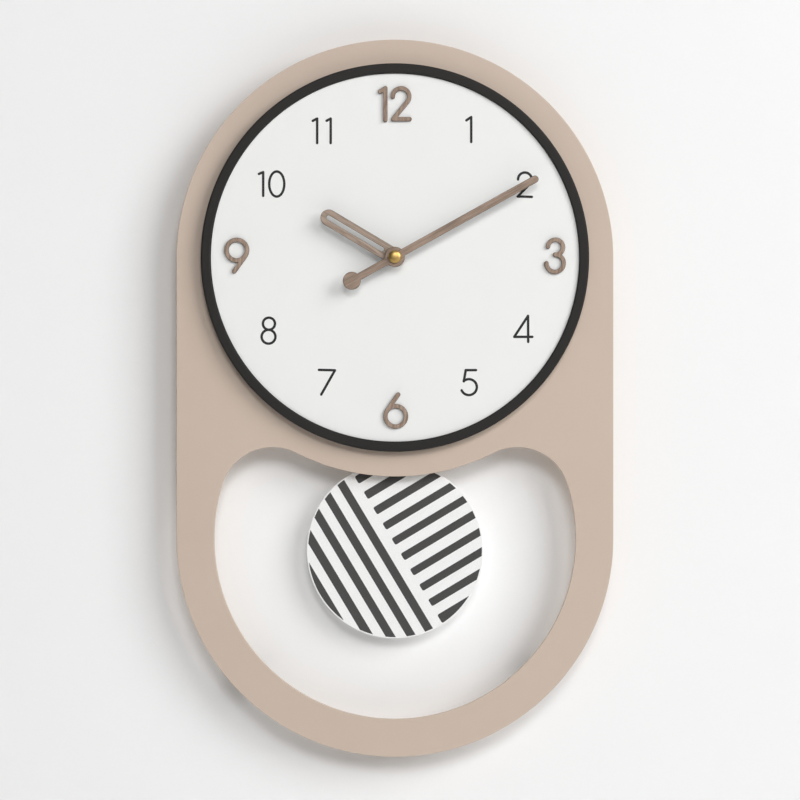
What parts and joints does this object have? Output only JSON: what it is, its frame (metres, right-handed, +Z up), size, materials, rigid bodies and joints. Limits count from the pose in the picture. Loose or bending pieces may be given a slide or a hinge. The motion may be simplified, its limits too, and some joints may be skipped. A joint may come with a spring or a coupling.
{
  "type": "pendulum wall clock",
  "caption": "Stadium-shaped wall clock: a round dial in a dark ring above a bean-shaped window, with a striped disc pendulum swinging behind the board.",
  "frame": {"origin": "the point on the wall plane where the hook's shank carries the hanger plate, at the top of its keyhole slot", "axes": "+Z up, +Y into the wall, +X to the right as seen from the room; the dial faces -Y"},
  "size_m": [0.32, 0.0536, 0.5254],
  "materials": {
    "board_paint": "satin taupe paint on dense board",
    "ring_black": "satin black",
    "dial_white": "matt white laminate on thin board",
    "walnut": "fine straight grain, darker cut edges",
    "steel": "zinc plated",
    "brass": "polished",
    "rubber": "matt",
    "black_plastic": "moulded, lightly textured",
    "gear_resin": "moulded",
    "magnet": "dull grey",
    "copper_wire": "enamelled winding",
    "circuit": "coated board",
    "cell_jacket": "printed jacket, no lettering",
    "bob_white": "white face with dark printed stripes",
    "raw_board": "uncoated board"
  },
  "bodies": {
    "clock_body": {"front_board": "board_paint", "ring_case": "ring_black", "dial": "dial_white", "numeral_12_one": "walnut", "numeral_12_two": "walnut", "numeral_3": "walnut", "numeral_6": "walnut", "numeral_9": "walnut", "ring_screw_1": "steel", "ring_screw_2": "steel", "ring_screw_3": "steel", "ring_screw_4": "steel", "hanger_plate": "steel", "hanger_screw_1": "steel", "hanger_screw_2": "steel", "spacer_screw_left": "steel", "spacer_screw_right": "steel", "pendulum_pin": "steel", "contact_plus": "steel", "contact_minus": "steel", "quartz_crystal": "steel", "stator": "steel", "neck_nut": "brass", "neck_washer": "rubber", "bumper_left": "rubber", "bumper_right": "rubber", "movement_case": "black_plastic", "movement_cover": "black_plastic", "spacer_left": "black_plastic", "spacer_right": "black_plastic", "train_plate": "gear_resin", "motor_coil": "copper_wire", "pendulum_coil": "copper_wire", "circuit_board": "circuit", "hanger_block": "raw_board"},
    "minute": {"minute_hand": "walnut", "cap_nut": "brass", "centre_wheel": "steel"},
    "hour": {"hour_hand": "walnut", "hour_wheel": "gear_resin"},
    "motion": {"motion_wheel": "gear_resin"},
    "knob": {"set_knob": "black_plastic"},
    "third": {"third_wheel": "gear_resin"},
    "seconds": {"seconds_wheel": "gear_resin"},
    "rotor": {"rotor": "magnet"},
    "step": {"step_wheel": "gear_resin"},
    "pendulum": {"pendulum_arm": "gear_resin", "pendulum_magnet": "magnet", "pendulum_rod": "brass", "bob_clip": "black_plastic", "pendulum_bob": "bob_white"},
    "cell": {"battery": "cell_jacket"}
  },
  "joints": [
    {"name": "minute_hand_turn", "type": "hinge", "parent": "clock_body", "child": "minute", "pos_m": [0, 0, -0.125], "axis": [0, 1, 0], "continuous": true},
    {"name": "hour_hand_turn", "type": "hinge", "parent": "clock_body", "child": "hour", "pos_m": [0, 0, -0.125], "axis": [0, 1, 0], "continuous": true},
    {"name": "motion_wheel_turn", "type": "hinge", "parent": "clock_body", "child": "motion", "pos_m": [-0.00846, 0, -0.12808], "axis": [0, 1, 0], "continuous": true},
    {"name": "set_knob_turn", "type": "hinge", "parent": "clock_body", "child": "knob", "pos_m": [-0.01746, 0, -0.12808], "axis": [0, 1, 0], "continuous": true},
    {"name": "third_wheel_turn", "type": "hinge", "parent": "clock_body", "child": "third", "pos_m": [0.0072, 0, -0.11253], "axis": [0, 1, 0], "continuous": true},
    {"name": "seconds_wheel_turn", "type": "hinge", "parent": "clock_body", "child": "seconds", "pos_m": [-0.00452, 0, -0.11046], "axis": [0, 1, 0], "continuous": true},
    {"name": "rotor_turn", "type": "hinge", "parent": "clock_body", "child": "rotor", "pos_m": [-0.0166, 0, -0.10419], "axis": [0, 1, 0], "continuous": true},
    {"name": "step_wheel_turn", "type": "hinge", "parent": "clock_body", "child": "step", "pos_m": [-0.01373, 0, -0.11208], "axis": [0, 1, 0], "continuous": true},
    {"name": "pendulum_swing", "type": "hinge", "parent": "clock_body", "child": "pendulum", "pos_m": [0, 0, -0.161], "axis": [0, 1, 0], "range_deg": [-8, 8]},
    {"name": "battery_slide", "type": "slide", "parent": "clock_body", "child": "cell", "axis": [0, 1, 0], "range_m": [0, 0.022]}
  ],
  "couplings": [
    {"joint": "hour_hand_turn", "follows": "minute_hand_turn", "ratio": 0.083333},
    {"joint": "motion_wheel_turn", "follows": "minute_hand_turn", "ratio": -0.33333},
    {"joint": "set_knob_turn", "follows": "minute_hand_turn", "ratio": 1},
    {"joint": "third_wheel_turn", "follows": "minute_hand_turn", "ratio": -8},
    {"joint": "seconds_wheel_turn", "follows": "minute_hand_turn", "ratio": 60},
    {"joint": "step_wheel_turn", "follows": "rotor_turn", "ratio": -0.16667}
  ]
}
